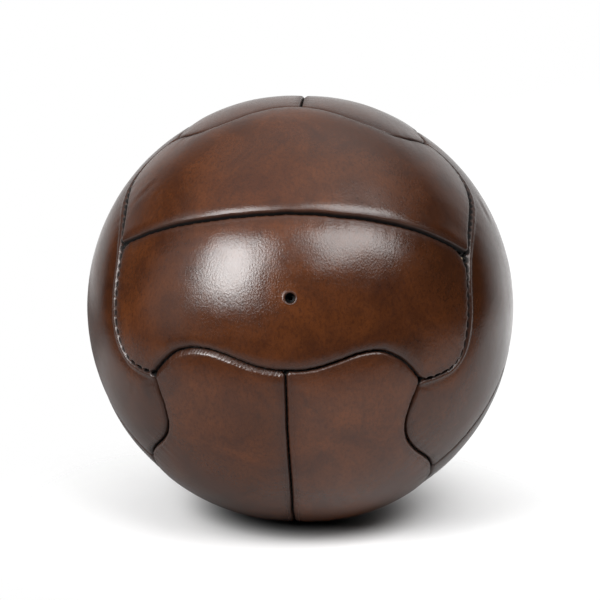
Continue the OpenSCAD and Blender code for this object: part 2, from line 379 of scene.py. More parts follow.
def edge_height(shape, away, along, marks, puckers, seed):
    """What one seam adds to the height of the leather beside it."""
    d = np.maximum(away - from_start_to_end(shape.gap, along), 0)
    folds = waves(along[..., None], GATHER_FOLDS[0], seed + 10, GATHER_WAVES)
    folds += SHORT_FOLDS * waves(along[..., None], GATHER_FOLDS[1], seed + 20, GATHER_WAVES)
    height = from_start_to_end(shape.lift, along) * np.exp(-((d / EDGE_SOFTNESS) ** 1.5))
    height -= shape.shoulder * np.clip(1 - d / SHOULDER_W, 0, 1) ** 2
    height += from_start_to_end(shape.bead, along) * np.exp(-(((d - BEAD_AT) / BEAD_W) ** 2))
    width, drop = shape.bevel
    height -= drop * np.clip(1 - d / width, 0, 1) ** 1.3
    height -= shape.puckers * puckers * np.exp(-((d / PUCKER_REACH) ** 4))
    height -= shape.notch * marks * np.exp(-((d / NOTCH_REACH) ** 2))
    return height + shape.gather * folds * np.exp(-d / GATHER_REACH) * np.minimum(d, 1)


def leather_height(name, seed):
    """Height of a panel's outside above the ball's radius, and its painted distance from a seam."""
    edges = {**ALL_PLAIN, **SEAM_EDGES.get(name, {})}
    marks = {side: stitch_marks(*SIDES[side], seed + k) for k, side in enumerate(SIDES)}
    puckers = {side: stitch_marks(*SIDES[side], seed + k + 30, **PUCKERS) for k, side in enumerate(SIDES)}
    distance = seam_distance(name, edges, marks)
    s, t = 2 * ACROSS_SHARE - 1, 2 * DOWN_SHARE - 1
    height = PUFF * (((1 - s**2) * (1 - t**2)) ** 0.45 - PUFF_MEAN)
    nearness = {side: 1 / np.maximum(away, 0.05) ** 2 for side, (away, _) in SIDES.items()}
    whole = sum(nearness.values())
    roll_w = sum(nearness[side] * edges[side].roll[0] for side in SIDES) / whole
    roll_h = sum(nearness[side] * edges[side].roll[1] for side in SIDES) / whole
    # The black runs further out between the stitches and along the puckers: painted shade in the gaps and
    # folds
    reach = {
        side: shape.black * (1 - shape.pinch * np.sqrt(marks[side])) + shape.teeth * puckers[side]
        for side, shape in edges.items()
    }
    black = np.maximum(sum(nearness[side] * reach[side] for side in SIDES) / whole, 0.1)
    for k, (side, (away, along)) in enumerate(SIDES.items()):
        height += edge_height(edges[side], away, along, marks[side], puckers[side], seed + k)
    inside = np.clip(1 - distance / roll_w, 0, 1)
    height -= roll_h * (1 - np.sqrt(1 - inside**2))
    height -= np.clip(-GROOVE_SLOPE * distance, 0, GROOVE_DEEPEST)
    from_edge = np.minimum.reduce([away for away, _ in SIDES.values()])
    over_flange = np.clip(1 - from_edge / FLANGE_T, 0, 1)
    height = np.maximum(height, LINING_COVER - LEATHER_T - GROOVE_DEEPEST * over_flange)
    painted = np.where(distance < black, BLACK_EDGE * distance / black, distance - black + BLACK_EDGE)
    return height, painted


# Soft creases in the leather: their two ends in the ball's frame, width and depth in mm
CREASES = [
    ((-0.74, -0.63, 0.18), (-0.59, -0.76, 0.27), 2.6, 0.12),
    ((-0.63, -0.77, 0.14), (-0.56, -0.80, 0.22), 2.2, 0.05),
    ((-0.70, -0.40, -0.60), (-0.66, -0.45, -0.60), 2.0, 0.15),
    ((0.79, -0.47, 0.39), (0.87, -0.42, 0.25), 3.0, 0.3),
]


CREASE_RIDGE = 0.7  # height of the ridge beside a crease, as a share of its depth
CREASE_RIDGE_AT = 1.6  # and its distance, in widths of the crease


def crease_height(points):
    """What the creases add to the leather's height: a groove with a ridge along one side."""
    height = np.zeros(points.shape[:-1])
    for start, end, width, depth in CREASES:
        a, b = unit(np.array(start)), unit(np.array(end))
        along_dir = unit(b - a)
        across_dir = unit(np.cross(a + b, along_dir))
        middle = unit(a + b)
        half = np.linalg.norm(b - a) * BALL_R / 2
        x = (points - middle) @ across_dir * BALL_R
        y = (points - middle) @ along_dir * BALL_R / half
        near = (points @ middle > 0.8) * np.clip(1 - y**2, 0, 1) ** 1.5
        ridge = CREASE_RIDGE * np.exp(-(((x - CREASE_RIDGE_AT * width) / width) ** 2))
        height += depth * near * (ridge - np.exp(-((x / width) ** 2)))
    return height


# Where the sewer pulled a seam off its line: place, pull in mm and how far it reaches in mm
PULLS = [
    ((-0.35, -0.94, 0.0), (0, 0, -1.7), 30),
    ((0.56, -0.83, 0.0), (0, 0, 1.3), 30),
    ((0.1, -1.0, 0.0), (0, 0, -0.8), 70),
    ((0.0, -0.775, 0.632), (0, 2.2, 2.7), 60),
    ((0.2, -0.75, 0.64), (0, -1.5, -1.8), 20),
    ((0.0, -0.77, -0.64), (0, -1.2, 1.4), 18),
    ((0.3, -0.77, -0.57), (-0.2, -0.7, 1.0), 30),
    ((-0.2, -0.8, -0.58), (0, -0.4, 0.6), 20),
    ((-0.4, -0.75, -0.53), (0, 0.7, -1.1), 18),
    ((-0.57, -0.57, -0.59), (-1.0, -1.0, -1.9), 15),
    ((-0.55, -0.5, -0.67), (-1.3, 1.0, 0.3), 25),
    ((0.57, -0.3, -0.77), (-1.5, -1.3, -0.6), 25),
    ((0.0, -0.2, -0.98), (2.7, 0, 0), 55),
    ((0.65, -0.55, 0.52), (0.5, 2.6, 1.7), 25),
    ((-0.68, -0.55, -0.49), (-1.1, 2.1, -0.7), 11),
    ((0.70, -0.54, -0.47), (1.5, 2.5, -0.6), 15),
]


# Each wander of the seams: its size, its height in mm and its seed
LONG_WANDER = (70, 0.5, 40)
SHORT_WANDER = (14, 0.14, 50)
# Each swell of the casing: its height in mm, its size, its seed and its count of waves
SLUMP = [(0.35, 150, 7, 14), (0.05, 20, 8, 40), (0.008, 8, 9, 60)]


def wander(points, size, height, seed):
    """A smooth shift of points of the ball, in mm along each axis."""
    return np.stack([waves(points * BALL_R, size, seed + k) for k in range(3)], -1) * height


def hand_sewn(points):
    """Moves points of the ball a little along its surface, so that no seam runs quite true."""
    shift = wander(points, *LONG_WANDER)
    shift += wander(points, *SHORT_WANDER)
    for place, pull, reach in PULLS:
        shift += nearby(points, place, reach)[..., None] * np.array(pull)
    return unit(points + shift / BALL_R)


def slump(points):
    """How far a filled casing bulges or sags from a true ball, in mm, at points of the ball's frame."""
    return sum(height * waves(points * BALL_R, *wave) for height, *wave in SLUMP)


def rest(points_mm):
    """Presses the ball's underside flat on the floor, in the row's frame."""
    floor = FLOOR_Z / MM
    low = np.minimum(points_mm[..., 2] - floor, 0)
    pressed = points_mm.copy()
    pressed[..., 2] -= low
    return pressed


def panel_surface(name):
    """A panel's outside points in mm in the ball's frame, their seam distance and their directions."""
    turn = turn_to(PLACES[name])
    height, distance = leather_height(name, 100 * (list(PLACES).index(name) + 1))
    in_ball = GRID @ turn.T
    moved = hand_sewn(in_ball)
    height = height + crease_height(in_ball) + slump(in_ball)
    return moved * (BALL_R + height)[..., None], distance, moved


def mesh_from(points_mm, faces, name):
    mesh = bpy.data.meshes.new(name)
    mesh.from_pydata((points_mm * MM).tolist(), [], faces)
    mesh.polygons.foreach_set("use_smooth", [True] * len(mesh.polygons))
    mesh.update()
    obj = bpy.data.objects.new(name, mesh)
    bpy.context.scene.collection.objects.link(obj)
    return obj


def border(rows, cols):
    """The border of a block of grid points, from its first corner down, across, up and back."""
    r0, r1 = rows
    c0, c1 = cols
    down = [(r, c0) for r in range(r0, r1)]
    across = [(r1, c) for c in range(c0, c1)]
    up = [(r, c1) for r in range(r1, r0, -1)]
    back = [(r0, c) for c in range(c1, c0, -1)]
    return down + across + up + back


class Shell:
    """A mesh that grows ring by ring."""

    def __init__(self, points, tone):
        self.points, self.tone, self.faces = [points], [tone], []
        self.count = len(points)

    def join(self, first, second):
        """Joins two rings that have the same number of points."""
        for i in range(len(first)):
            j = (i + 1) % len(first)
            self.faces.append((first[i], second[i], second[j], first[j]))

    def ring(self, last, points, tone=0.0):
        """Adds a ring of points and joins it to the last one."""
        now = list(range(self.count, self.count + len(points)))
        self.points.append(points)
        self.tone.append(np.full(len(points), tone))
        self.count += len(points)
        self.join(last, now)
        return now

    def bridge(self, first, second):
        """Joins a ring to one with fewer points, which starts and turns as it does."""
        n, m = len(first), len(second)
        for i in range(n):
            j = (i + 1) % n
            a, b = i * m // n, (i + 1) * m // n
            if a == b:
                self.faces.append((first[i], second[a % m], first[j]))
            else:
                self.faces.append((first[i], second[a % m], second[b % m], first[j]))


FLANGE_STEPS = (0.15, 0.4, 1.0)  # shares of the way down at which the flange has a ring of points
INNER_STEPS = (0.15, 0.4, 0.7, 0.95)  # and shares of the way in, on the leather's underside


def add_flange(shell, ring, directions):
    """Turns a panel's edge in, down its seam and back up to the leather's underside."""
    top = np.linalg.norm(shell.points[0][ring], axis=1)
    foot, underside = BALL_R - FLANGE_DEPTH, BALL_R - LEATHER_T
    middle = unit(directions.mean(0))
    inward = unit(middle - directions * (directions @ middle)[:, None]) * FLANGE_T / BALL_R
    for depth in FLANGE_STEPS:
        radius = top * (1 - depth) + foot * depth
        ring = shell.ring(ring, directions * radius[:, None])
    inner = unit(directions + inward)
    ring = shell.ring(ring, inner * foot)
    return shell.ring(ring, inner * (underside - 1)), inner


def add_underside(shell, ring, inner, centre, hole):
    """Closes a panel behind, round the valve hole if there is one."""
    underside = BALL_R - LEATHER_T
    for share in INNER_STEPS:
        points = unit(inner * (1 - share) + centre * share) * underside
        ring = shell.ring(ring, points)
    if hole:
        shell.bridge(ring, hole)
    else:
        tip = shell.count
        shell.points.append((centre * underside)[None])
        shell.tone.append(np.zeros(1))
        shell.count += 1
        shell.faces += [(ring[i], tip, ring[(i + 1) % len(ring)]) for i in range(len(ring))]


def in_block(block, r, c):
    """Whether a grid square gives way to the valve hole's rings."""
    return block is not None and block[0][0] <= r < block[0][1] and block[1][0] <= c < block[1][1]


def build_panel(name, leather):
    """One leather panel: its outside, its flange all round and its underside."""
    outside, distance, moved = panel_surface(name)
    rows, cols = outside.shape[:2]
    shell = Shell(outside.reshape(-1, 3), distance.reshape(-1))
    block = valve_block(outside) if name == "front_lower" else None
    for r in range(rows - 1):
        for c in range(cols - 1):
            if in_block(block, r, c):
                continue
            a = r * cols + c
            shell.faces.append((a, a + cols, a + cols + 1, a + 1))
    ring = [r * cols + c for r, c in border((0, rows - 1), (0, cols - 1))]
    hole = add_valve_hole(shell, outside, block) if block else None
    ring, inner = add_flange(shell, ring, moved.reshape(-1, 3)[ring])
    centre = valve_axis() if block else unit(inner.mean(0))
    add_underside(shell, ring, inner, centre, hole)
    points = np.concatenate(shell.points)
    obj = mesh_from(rest(points @ PITCHED.T), shell.faces, f"{name}_leather")
    paint(obj, "seam_mm", np.concatenate(shell.tone))
    # Tone per panel and per patch, partly painted light from the floor on the underside
    paint(obj, "tone", PANEL_TONE_AND_LIGHT.get(name, 1.0) * patch_tone_and_light(unit(points)))
    obj.data.materials.append(leather)
    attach(obj, "root")
    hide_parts(f"{name}_panel")


def paint(obj, name, values):
    attribute = obj.data.attributes.new(name, "FLOAT", "POINT")
    attribute.data.foreach_set("value", values.astype(np.float32))


# How much lighter or darker each panel is painted than the front lower panel; the bottom right panel's
# extra brightness is painted light from the floor
PANEL_TONE_AND_LIGHT = {
    "front_upper": 1.0,
    "bottom_left": 1.0,
    "bottom_right": 1.25,
    "left_front": 0.75,
    "left_rear": 0.75,
    "right_front": 0.75,
    "right_rear": 0.75,
    "top_left": 0.95,
    "top_right": 0.9,
}

# Lighter and darker patches: place, reach in mm, and how much lighter or darker. The lighter ones low on
# the ball are painted light from the floor; the rest make the hide lighter or darker in places
PATCHES_OF_TONE_AND_LIGHT = [
    ((-0.1, -1.0, 0.05), 26, 0.35),
    ((0.7, -0.7, 0.0), 30, -0.4),
    ((0.2, -0.75, 0.6), 15, -0.3),
    ((0.45, -0.75, 0.45), 24, -0.25),
    ((0.1, -0.3, -0.95), 45, 0.35),
    ((0.6, -0.4, -0.7), 38, 0.3),
    ((-0.3, -0.4, -0.9), 30, 0.3),
    ((-0.85, -0.5, 0.05), 25, 0.25),
    ((0.5, -0.7, -0.5), 14, -0.25),
    ((-0.7, -0.7, -0.4), 16, 0.2),
    ((-0.03, -0.85, 0.53), 18, 0.3),
    ((0.75, -0.3, -0.6), 38, 0.6),
    ((0.0, 0.1, -1.0), 38, 0.5),
    ((-0.61, -0.48, -0.63), 4, -0.4),
]


def patch_tone_and_light(points):
    """How much lighter or darker the patches make each point."""
    tone = np.ones(len(points))
    for place, reach, change in PATCHES_OF_TONE_AND_LIGHT:
        tone *= 1 + change * nearby(points, place, reach)
    return tone


# ---- Valve hole ----

HOLE_BLOCK = 8  # grid squares either side of the hole that its rings replace
RIM_R = 0.7  # rounding of the hole's edge
RIM_LIFT = 0.12
LIP_REACH = 0.22  # how far out the lip runs, as a share of the way to the block's border
RING_SHARES = np.linspace(0.12, 1, 9)  # of the way in from the block's border
BURNISH_FROM = 0.8  # the share from which the leather is burnished
UNTOUCHED, BURNISHED, RIM_DARK = 30.0, 1.0, 0.3  # painted as so many mm from a seam
WALL_STEPS = (1.6, LEATHER_T)  # depths of the rings down the hole's wall


def valve_axis():
    """The valve's axis in the ball's frame."""
    drop, side = math.radians(VALVE_DROP), math.radians(VALVE_SIDE)
    return np.array([math.sin(side) * math.cos(drop), -math.cos(side) * math.cos(drop), -math.sin(drop)])


def valve_block(outside):
    """Rows and columns of the block of grid squares round the valve hole."""
    r, c = np.unravel_index((unit(outside) @ valve_axis()).argmax(), outside.shape[:2])
    return (r - HOLE_BLOCK, r + HOLE_BLOCK), (c - HOLE_BLOCK, c + HOLE_BLOCK)


def add_valve_hole(shell, outside, block):
    """Rings from the block's border in to the hole, over its burnished rim and down its wall."""
    corners = border(*block)[::-1]
    cols = outside.shape[1]
    axis = valve_axis()
    right = unit(np.cross(axis, [0, 0, 1.0]))
    up = np.cross(right, axis)
    start = np.array([outside[r, c] for r, c in corners])
    angle = np.arctan2(start @ up, start @ right)
    spread_r = np.hypot(start @ up, start @ right)
    mean_r = np.linalg.norm(start, axis=1).mean()
    start_height = start @ axis + spread_r**2 / 2 / mean_r
    mean_height = start_height.mean()
    across = right * np.cos(angle)[:, None] + up * np.sin(angle)[:, None]
    ring = [r * cols + c for r, c in corners]

    def add_ring(radius, height, tone):
        height = height - radius**2 / 2 / mean_r
        points = across * np.broadcast_to(radius, angle.shape)[:, None]
        return shell.ring(ring, points + axis * np.broadcast_to(height, angle.shape)[:, None], tone)

    for share in RING_SHARES:
        radius = spread_r * (1 - share) + (VALVE_HOLE_R + RIM_R) * share
        lip = RIM_LIFT * math.exp(-(((1 - share) / LIP_REACH) ** 2))
        level = start_height * (1 - share) + mean_height * share
        ring = add_ring(radius, level + lip, UNTOUCHED if share < BURNISH_FROM else BURNISHED)
    for turn in np.radians(np.linspace(0, 90, 7)[1:]):
        radius = VALVE_HOLE_R + RIM_R * (1 - math.sin(turn))
        ring = add_ring(radius, mean_height + RIM_LIFT - RIM_R * (1 - math.cos(turn)), RIM_DARK)
    for depth in WALL_STEPS:
        ring = add_ring(VALVE_HOLE_R, mean_height - depth, 0.0)
    return ring[::-1]


# ---- Materials ----


def new_material(name):
    material = bpy.data.materials.new(name)
    material.use_nodes = True
    tree = material.node_tree
    shader = tree.nodes["Principled BSDF"]
    return material, tree, shader


def add(tree, kind, **values):
    node = tree.nodes.new(kind)
    for key, value in values.items():
        if key in node.inputs:
            node.inputs[key].default_value = value
        else:
            setattr(node, key, value)
    return node


def noise(tree, where, scale, detail=4.0, rough=0.55, distortion=0.0):
    node = add(tree, "ShaderNodeTexNoise")
    node.inputs["Scale"].default_value = scale
    node.inputs["Detail"].default_value = detail
    node.inputs["Roughness"].default_value = rough
    node.inputs["Distortion"].default_value = distortion
    tree.links.new(where, node.inputs["Vector"])
    return node.outputs["Fac"]


def spread(tree, value, low, high, to_low=0.0, to_high=1.0, smooth=False):
    """Stretches a value from one range to another and clamps it."""
    node = add(tree, "ShaderNodeMapRange", clamp=True)
    if smooth:
        node.interpolation_type = "SMOOTHSTEP"
    for key, number in (("From Min", low), ("From Max", high), ("To Min", to_low), ("To Max", to_high)):
        node.inputs[key].default_value = number
    tree.links.new(value, node.inputs["Value"])
    return node.outputs["Result"]


def blend(tree, share, first, second, mode="MIX"):
    node = add(tree, "ShaderNodeMix", data_type="RGBA", blend_type=mode)
    for socket, value in ((node.inputs[0], share), (node.inputs[6], first), (node.inputs[7], second)):
        if isinstance(value, (tuple, float, int)):
            socket.default_value = value
        else:
            tree.links.new(value, socket)
    return node.outputs[2]


def maths(tree, operation, a, b=None):
    node = add(tree, "ShaderNodeMath", operation=operation)
    for socket, value in zip(node.inputs, (a, b)):
        if value is None:
            continue
        if isinstance(value, (float, int)):
            socket.default_value = value
        else:
            tree.links.new(value, socket)
    return node.outputs[0]


def bump(tree, height, distance, strength=1.0, normal=None):
    node = add(tree, "ShaderNodeBump")
    node.inputs["Strength"].default_value = strength
    node.inputs["Distance"].default_value = distance
    tree.links.new(height, node.inputs["Height"])
    if normal is not None:
        tree.links.new(normal, node.inputs["Normal"])
    return node.outputs["Normal"]


# Noise in the leather: its scale, detail, roughness and distortion
MOTTLE = (30, 9, 0.68, 0.6)
SMUDGES = (62, 5, 0.6, 0.8)
FLECKS = (560, 5, 0.75)
SHEEN = (160, 6, 0.7)
PORES = (1100, 4, 0.75)
PEBBLE_SCALE = 800
PEBBLE_DEEP, PORE_DEEP = 0.00006, 0.000095  # in metres
HAIR_WAY = (1.2, 1.0, 0.85)  # how the grain is drawn out
CHESTNUT, RUSSET = (0.038, 0.0116, 0.0048, 1), (0.083, 0.0246, 0.0073, 1)
SMUDGE, FLECK = (0.030, 0.0105, 0.0055, 1), (0.022, 0.0080, 0.0042, 1)
# Black in the grooves is edge dressing and painted shade of the groove
SEAM_DARKENING, DRESSING_AND_GROOVE_SHADE = (0.026, 0.0095, 0.0055, 1), (0.0016, 0.0008, 0.0006, 1)


def leather_colour(tree, where, grain_at, seam):
    """Chestnut mottling with dark smudges and flecks, times a tone that is partly painted light from the
    floor, darker towards the seams and black in the grooves as edge dressing and painted groove shade.
    """
    tone = add(tree, "ShaderNodeAttribute", attribute_name="tone").outputs["Fac"]
    mottle = spread(tree, noise(tree, where, *MOTTLE), 0.33, 0.67)
    colour = blend(tree, mottle, CHESTNUT, RUSSET)
    smudges = spread(tree, noise(tree, where, *SMUDGES), 0.56, 0.74, 0, 0.5)
    colour = blend(tree, smudges, colour, SMUDGE)
    flecks = spread(tree, noise(tree, grain_at, *FLECKS), 0.46, 0.66, 0, 0.52)
    colour = blend(tree, flecks, colour, FLECK)
    # The tone is partly painted light from the floor
    colour = blend(tree, 1.0, colour, tone, "MULTIPLY")
    # Darker towards the seams
    colour = blend(tree, spread(tree, seam, 0.3, 6.0, 0.55, 0.0), colour, SEAM_DARKENING)
    # Black edge dressing and painted shade in the groove
    return blend(tree, spread(tree, seam, 0.0, BLACK_EDGE, 1.0, 0.0), colour, DRESSING_AND_GROOVE_SHADE)


def leather_roughness(tree, where, seam):
    """Waxed, and duller where it is rubbed beside a seam and where its edge is blackened."""
    rough = spread(tree, noise(tree, where, *SHEEN), 0.3, 0.7, 0.16, 0.235)
    rubbed = spread(tree, seam, 1.2, 4.0, 0.14, 0.0)
    blackened = spread(tree, seam, 0.0, BLACK_EDGE, 0.4, 0.0)
    return maths(tree, "ADD", rough, maths(tree, "ADD", rubbed, blackened))


def leather_grain(tree, grain_at):
    """Fine pebbles with pores."""
    cells = add(tree, "ShaderNodeTexVoronoi", feature="F1")
    cells.inputs["Scale"].default_value = PEBBLE_SCALE
    tree.links.new(grain_at, cells.inputs["Vector"])
    pebbles = spread(tree, cells.outputs["Distance"], 0.0, 0.8)
    normal = bump(tree, pebbles, PEBBLE_DEEP, 0.5)
    return bump(tree, noise(tree, grain_at, *PORES), PORE_DEEP, 0.7, normal)


def leather_material():
    """Aged, waxed brown leather."""
    material, tree, shader = new_material("aged_leather")
    where = add(tree, "ShaderNodeTexCoord").outputs["Object"]
    seam = add(tree, "ShaderNodeAttribute", attribute_name="seam_mm").outputs["Fac"]
    hair_way = add(tree, "ShaderNodeMapping")
    hair_way.inputs["Scale"].default_value = HAIR_WAY
    tree.links.new(where, hair_way.inputs["Vector"])
    grain_at = hair_way.outputs[0]
    tree.links.new(leather_colour(tree, where, grain_at, seam), shader.inputs["Base Color"])
    tree.links.new(leather_roughness(tree, where, seam), shader.inputs["Roughness"])
    tree.links.new(leather_grain(tree, grain_at), shader.inputs["Normal"])
    shader.inputs["IOR"].default_value = 1.54
    return material


THREAD, THREAD_DARK = (0.010, 0.006, 0.004, 1), (0.003, 0.002, 0.0015, 1)
FELT, FELT_DARK = (0.55, 0.45, 0.30, 1), (0.38, 0.30, 0.19, 1)
COTTON, COTTON_DARK = (0.52, 0.46, 0.36, 1), (0.34, 0.29, 0.21, 1)
RUBBER, RUBBER_BLOOM = (0.025, 0.022, 0.020, 1), (0.07, 0.065, 0.06, 1)
VALVE_BLACK, VALVE_BLOOM = (0.012, 0.012, 0.012, 1), (0.04, 0.04, 0.04, 1)
FLESH_SIDE, FLESH_PALE = (0.16, 0.085, 0.045, 1), (0.30, 0.18, 0.10, 1)


def fibre_material(name, colour, dark, scale):
    """Matted fibre: felt, packed cotton or thread."""
    material, tree, shader = new_material(name)
    where = add(tree, "ShaderNodeTexCoord").outputs["Object"]
    tufts = spread(tree, noise(tree, where, scale, 6, 0.7, 1.5), 0.35, 0.7)
    tree.links.new(blend(tree, tufts, dark, colour), shader.inputs["Base Color"])
    shader.inputs["Roughness"].default_value = 0.9
    tree.links.new(bump(tree, tufts, 0.0003, 0.6), shader.inputs["Normal"])
    return material


def rubber_material(name, colour, bloom):
    """Moulded rubber with a grey bloom."""
    material, tree, shader = new_material(name)
    where = add(tree, "ShaderNodeTexCoord").outputs["Object"]
    dusty = spread(tree, noise(tree, where, 120, 4, 0.6), 0.45, 0.75, 0, 0.5)
    tree.links.new(blend(tree, dusty, colour, bloom), shader.inputs["Base Color"])
    tree.links.new(spread(tree, dusty, 0, 0.5, 0.42, 0.65), shader.inputs["Roughness"])
    tree.links.new(bump(tree, noise(tree, where, 700, 3), 0.00006, 0.4), shader.inputs["Normal"])
    return material


def washer_material():
    """Undyed leather, flesh side out."""
    material, tree, shader = new_material("flesh_side_leather")
    where = add(tree, "ShaderNodeTexCoord").outputs["Object"]
    nap = spread(tree, noise(tree, where, 500, 6, 0.7), 0.35, 0.7)
    colour = blend(tree, nap, FLESH_SIDE, FLESH_PALE)
    tree.links.new(colour, shader.inputs["Base Color"])
    shader.inputs["Roughness"].default_value = 0.85
    tree.links.new(bump(tree, nap, 0.0002, 0.5), shader.inputs["Normal"])
    return material


def give(nodes, material):
    """Gives a material to every slot of the design's own pieces."""
    for name in nodes:
        slots = bpy.data.objects[name].material_slots
        for slot in slots:
            slot.material = material


# ---- Seam threads ----

# The straight seams take every other place, and the curved ones every place
STRAIGHT = dict(zip(("front", "back", "bottom", "top", "left", "right"), ALL_PLACES[::2]))
CURVED_SEAMS = [
    *("front_left", "front_right", "back_right", "back_left"),
    *("bottom_front", "bottom_back", "top_back", "top_front"),
    *("left_bottom", "left_top", "right_top", "right_bottom"),
]
CURVED = dict(zip(CURVED_SEAMS, ALL_PLACES))
THREAD_R = 0.5
THREAD_SIDES = 8
THREAD_RINGS = 9
STITCH_ACROSS, STITCH_ALONG = 1.6, 0.8  # how far a stitch's end lies from its middle, in mm
STITCH_DEPTH, STITCH_DIVE = 3.2, 1.6  # how deep its middle is, and how much deeper its ends are
AHEAD = 0.002  # the share of a seam's length over which its direction is taken


def tube(points, radius, base):
    """A closed tube of THREAD_SIDES sides along points, with rounded ends."""
    ahead = unit(np.gradient(points, axis=0))
    side = unit(np.cross(ahead, points))
    over = np.cross(side, ahead)
    turns = np.linspace(0, 2 * math.pi, THREAD_SIDES, endpoint=False)
    rings = [
        points[k] + radius[k] * (np.cos(turns)[:, None] * side[k] + np.sin(turns)[:, None] * over[k])
        for k in range(len(points))
    ]
    faces = []
    for k in range(len(points) - 1):
        for i in range(THREAD_SIDES):
            j = (i + 1) % THREAD_SIDES
            a, b = base + k * THREAD_SIDES, base + (k + 1) * THREAD_SIDES
            faces.append((a + i, a + j, b + j, b + i))
    faces.append(tuple(base + i for i in reversed(range(THREAD_SIDES))))
    faces.append(tuple(base + (len(points) - 1) * THREAD_SIDES + i for i in range(THREAD_SIDES)))
    return np.concatenate(rings), faces


def build_thread(name, curve, place, material):
    """One seam's slanting stitches, pulled down between the two rolled edges."""
    turn = turn_to(place)
    line = hand_sewn(unit(curve) @ turn.T)
    length = np.linalg.norm(np.diff(line, axis=0), axis=1).sum() * BALL_R
    count = round(length / STITCH_PITCH)
    shares = (np.arange(count) + 0.5) / count
    centres = even_steps(line, shares)
    later = even_steps(line, np.minimum(shares + AHEAD, 1))
    earlier = even_steps(line, np.maximum(shares - AHEAD, 0))
    ahead = unit(later - earlier)
    points, faces, base = [], [], 0
    arc = np.linspace(-1, 1, THREAD_RINGS)
    for centre, forward in zip(centres, ahead):
        across = unit(np.cross(centre, forward))
        slant = across * STITCH_ACROSS + forward * STITCH_ALONG
        depth = STITCH_DEPTH + STITCH_DIVE * arc**2
        path = centre * (BALL_R - depth)[:, None] + arc[:, None] * slant
        radius = THREAD_R * np.sqrt(np.clip(1 - arc**6, 0.05, 1))
        ring_points, ring_faces = tube(path, radius, base)
        points.append(ring_points)
        faces += ring_faces
        base += len(ring_points)
    obj = mesh_from(rest(np.concatenate(points) @ PITCHED.T), faces, f"{name}_thread")
    obj.data.materials.append(material)
    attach(obj, "root")
    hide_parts(f"{name}_seam_thread")


# ---- Linings ----


def build_lining(name, material):
    """A panel's lining, moved along the ball as its hand-sewn edges are."""
    node = bpy.data.objects[f"{name}_lining"]
    mesh = node.data.copy()
    points = np.empty(len(mesh.vertices) * 3)
    mesh.vertices.foreach_get("co", points)
    in_ball = points.reshape(-1, 3) @ PITCHED
    moved = hand_sewn(unit(in_ball)) * np.linalg.norm(in_ball, axis=1, keepdims=True) @ PITCHED.T
    mesh.vertices.foreach_set("co", moved.reshape(-1))
    mesh.update()
    obj = bpy.data.objects.new(f"{name}_felt", mesh)
    bpy.context.scene.collection.objects.link(obj)
    mesh.materials.clear()
    mesh.materials.append(material)
    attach(obj, "root")
    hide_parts(f"{name}_lining")


# ---- Studio ----

CAMERA_AWAY = 7.91 * BALL_R * MM
CAMERA_AZIMUTH = 3.5
CAMERA_HEIGHT = 10.15  # degrees above the horizon
CAMERA_ROLL = 1.05
LENS, SENSOR = 100.4, 36
CAMERA_SHIFT = 0.0138
# Each soft box's azimuth and elevation, how far away it is, its width and height, and its radiance
KEY = (-35.4, 28.7, 1.3, (0.58, 0.69), 16.0)
FILL = (39.5, 46.5, 1.3, (0.92, 0.53), 7.5)
WALL = (-66, 20, 1.3, (0.7, 1.3), 0.55)
# The table, in metres. A range runs over the stretch in which something rises or falls
FLOOR_FAR = 3.0
FLOOR_WHITE = 0.5  # as the ball sees it
LEFT_OF_BALL = (-0.03, 0.03)
RIGHT_OF_BALL = (0.0, 0.3)
BEHIND_BALL = (0.0, 0.5)
FLOOR_SHADE = 0.2  # how much less white it is near the ball, on the left
SHADE_REACH = (0.15, 0.37)
FLOOR_REAR_LIGHT = 0.5  # painted light: how much whiter the table is behind the ball, on the right
FLOOR_DIM = 0.65  # how much less light reaches it behind the ball, on the left
DIM_BEHIND = (0.16, 0.26)
FLOOR_GLOW = 0.5  # how much light spills onto it behind the ball, on the right
CONTACT_SHADOW_REACH = (0.025, 0.075)  # how far the painted contact shadow round the resting face reaches
CONTACT_SHADOW_DARK = 0.05
SHADOW_SEEN = (0.07, 0.2)  # how far from the ball's middle the camera sees the table fade out
TABLE_CENTRE = (0.15, 0.45)
TABLE_FADE = (0.6, 1.0)  # how far from its centre the table starts to fade, and where it is gone
# The room, by direction from the ball
ROOM = 0.01
SWEEP = (1.2, 0.85)  # brightness of the backdrop at the table's level and above it
SWEEP_SIDES = (0.65, 1.1)  # left and right
SWEEP_BEHIND, SWEEP_UP, SWEEP_ACROSS = (0.35, 0.9), (-0.1, 0.12), (-0.7, 0.7)
CEILING = (0.6, 0.9)  # left and right
CEILING_UP, CEILING_ACROSS = (0.58, 0.95), (-0.2, 0.2)


def direction(azimuth, elevation):
    """Unit vector from the ball: azimuth 0 is -Y and turns towards +X, elevation is up."""
    a, e = math.radians(azimuth), math.radians(elevation)
    return Vector((math.sin(a) * math.cos(e), -math.cos(a) * math.cos(e), math.sin(e)))


def add_camera():
    data = bpy.data.cameras.new("camera")
    data.lens = LENS
    data.sensor_width = SENSOR
    data.shift_y = CAMERA_SHIFT
    data.clip_start = 0.01
    camera = bpy.data.objects.new("camera", data)
    towards = direction(CAMERA_AZIMUTH, CAMERA_HEIGHT)
    look = (-towards).to_track_quat("-Z", "Y").to_matrix().to_4x4()
    roll = Matrix.Rotation(math.radians(CAMERA_ROLL), 4, "Z")
    camera.matrix_world = Matrix.Translation(towards * CAMERA_AWAY) @ look @ roll
    bpy.context.scene.collection.objects.link(camera)
    bpy.context.scene.camera = camera


